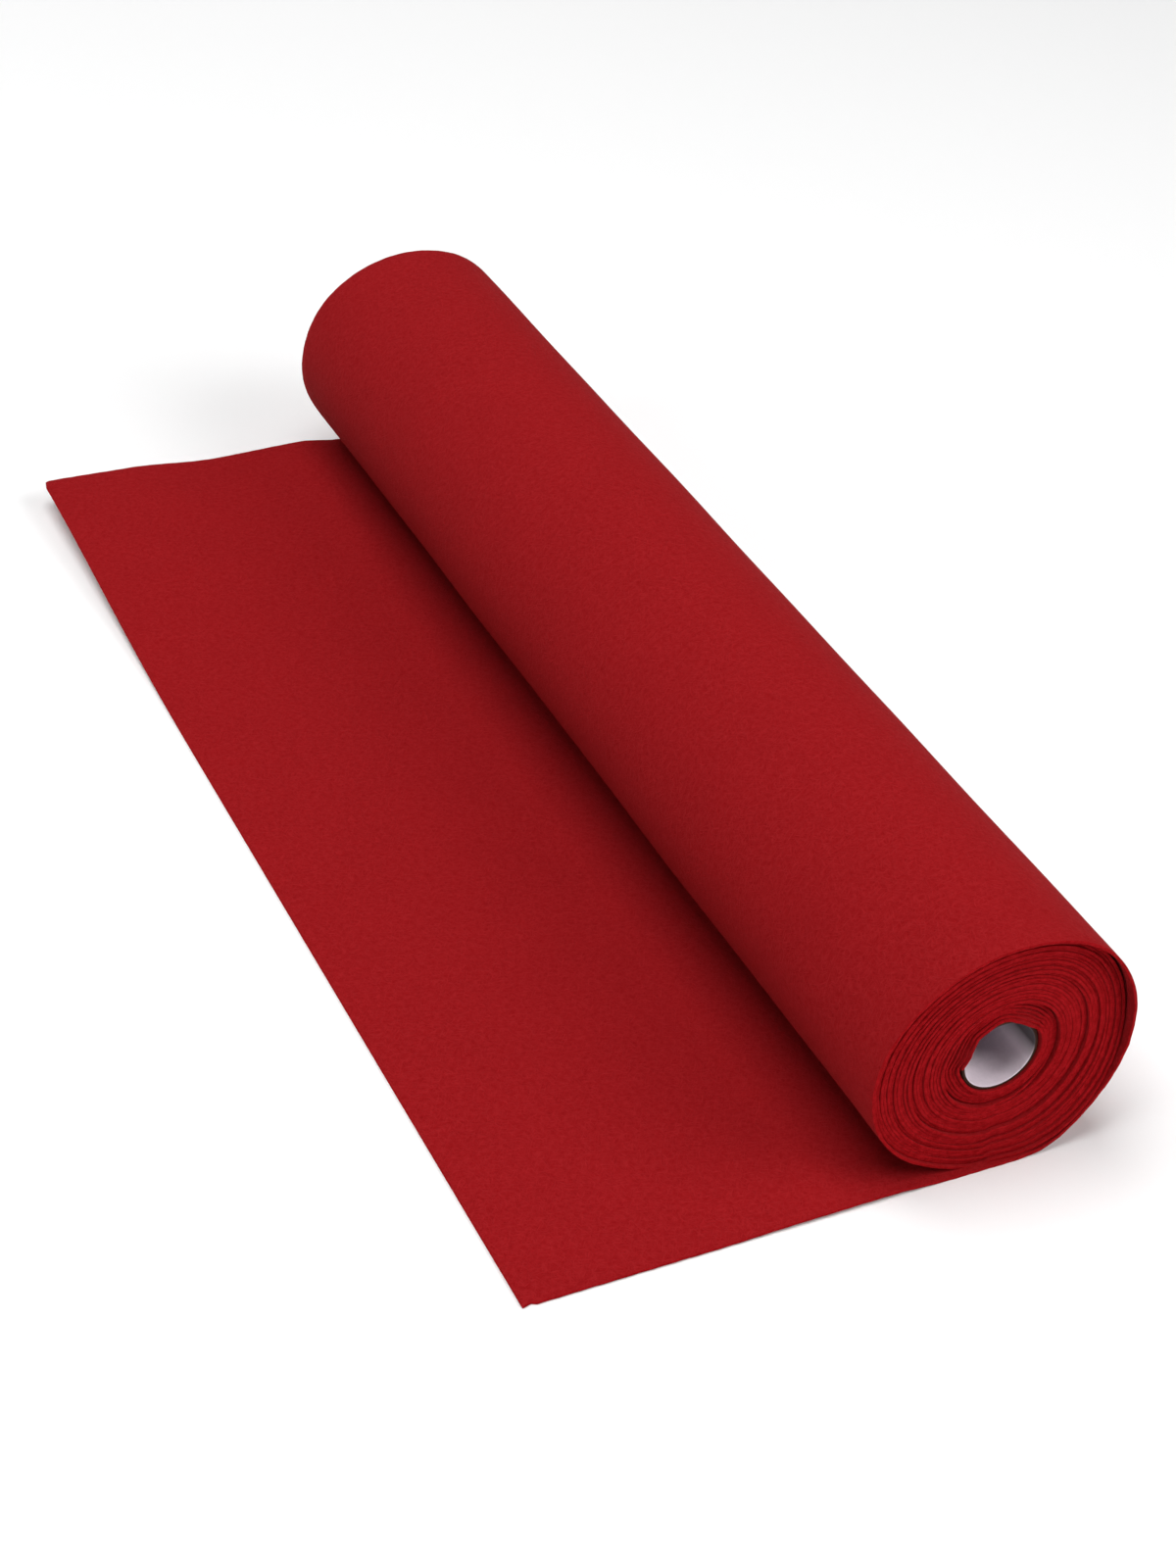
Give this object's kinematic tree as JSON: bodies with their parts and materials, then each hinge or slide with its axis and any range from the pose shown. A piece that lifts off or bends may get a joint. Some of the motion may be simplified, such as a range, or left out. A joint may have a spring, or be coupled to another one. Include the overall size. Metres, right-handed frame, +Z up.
{
  "type": "roll of felt",
  "caption": "Craft felt wound on a cardboard core tube into a soft roll, with a loose end that passes under the roll and lies flat beside it.",
  "frame": {"origin": "middle of the bottom of the whole piece's bounding box, on the surface it lies on", "axes": "+X along the roll's axis, +Y from the loose end's free edge towards the roll, +Z up"},
  "size_m": [0.4536, 0.1905, 0.0817],
  "materials": {
    "felt": "matt red needle-punched craft felt with a fine fibre mottle",
    "core": "plain pale grey board, matt, with a darker cut edge"
  },
  "bodies": {
    "root": {"felt_roll": "felt", "felt_loose_end": "felt", "core_tube": "core"}
  },
  "joints": []
}
